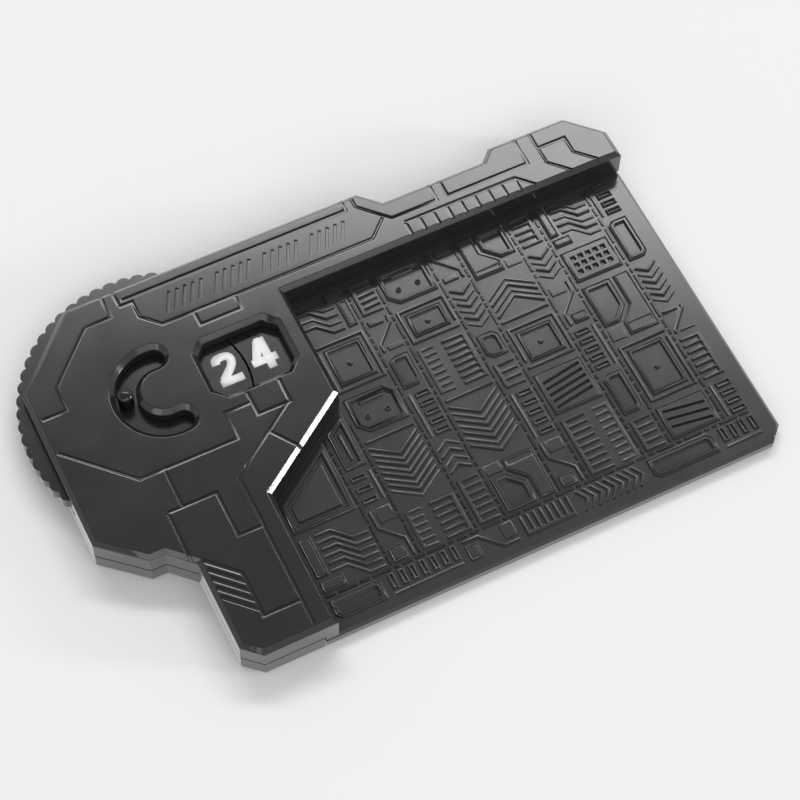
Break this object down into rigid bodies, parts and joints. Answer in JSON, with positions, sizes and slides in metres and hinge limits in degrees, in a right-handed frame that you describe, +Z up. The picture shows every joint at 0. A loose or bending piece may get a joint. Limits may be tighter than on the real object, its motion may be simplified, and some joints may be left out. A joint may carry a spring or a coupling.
{
  "type": "damage counter pad",
  "caption": "Flat game pad: a card plate with raised relief beside a low housing whose edge wheel and pegged inner dial show a two-digit count in a window.",
  "frame": {"origin": "centre of the bounding box's bottom face, on the surface that the pad's feet stand on", "axes": "+Z up out of the deck, +X along the long side from the dials towards the plate's free end, +Y towards the back strip"},
  "size_m": [0.1252, 0.0808, 0.0096],
  "materials": {
    "shell": "semi-gloss moulded black ABS",
    "plate": "polished moulded black ABS with raised relief",
    "dial": "satin moulded black plastic with white printed digits",
    "peg": "polished black plastic",
    "steel": "zinc plated",
    "feet": "matt black rubber"
  },
  "bodies": {
    "housing": {"top_cover": "shell", "bottom_cover": "shell", "card_plate": "plate", "disc_washer": "steel", "units_click_spring": "steel", "tens_click_spring": "steel", "hub_screw": "steel", "housing_screw_1": "steel", "housing_screw_2": "steel", "housing_screw_3": "steel", "housing_screw_4": "steel", "plate_screw_1": "steel", "plate_screw_2": "steel", "plate_screw_3": "steel", "foot_1": "feet", "foot_2": "feet", "foot_3": "feet", "foot_4": "feet"},
    "units_dial": {"units_ring": "dial"},
    "tens_dial": {"tens_disc": "dial", "tens_peg": "peg"}
  },
  "joints": [
    {"name": "units_turn", "type": "hinge", "parent": "housing", "child": "units_dial", "pos_m": [-0.03592, 0.01377, 0.0045], "axis": [0, 0, 1], "continuous": true},
    {"name": "tens_turn", "type": "hinge", "parent": "housing", "child": "tens_dial", "pos_m": [-0.03592, 0.01377, 0.0045], "axis": [0, 0, 1], "range_deg": [-86, 116]}
  ]
}
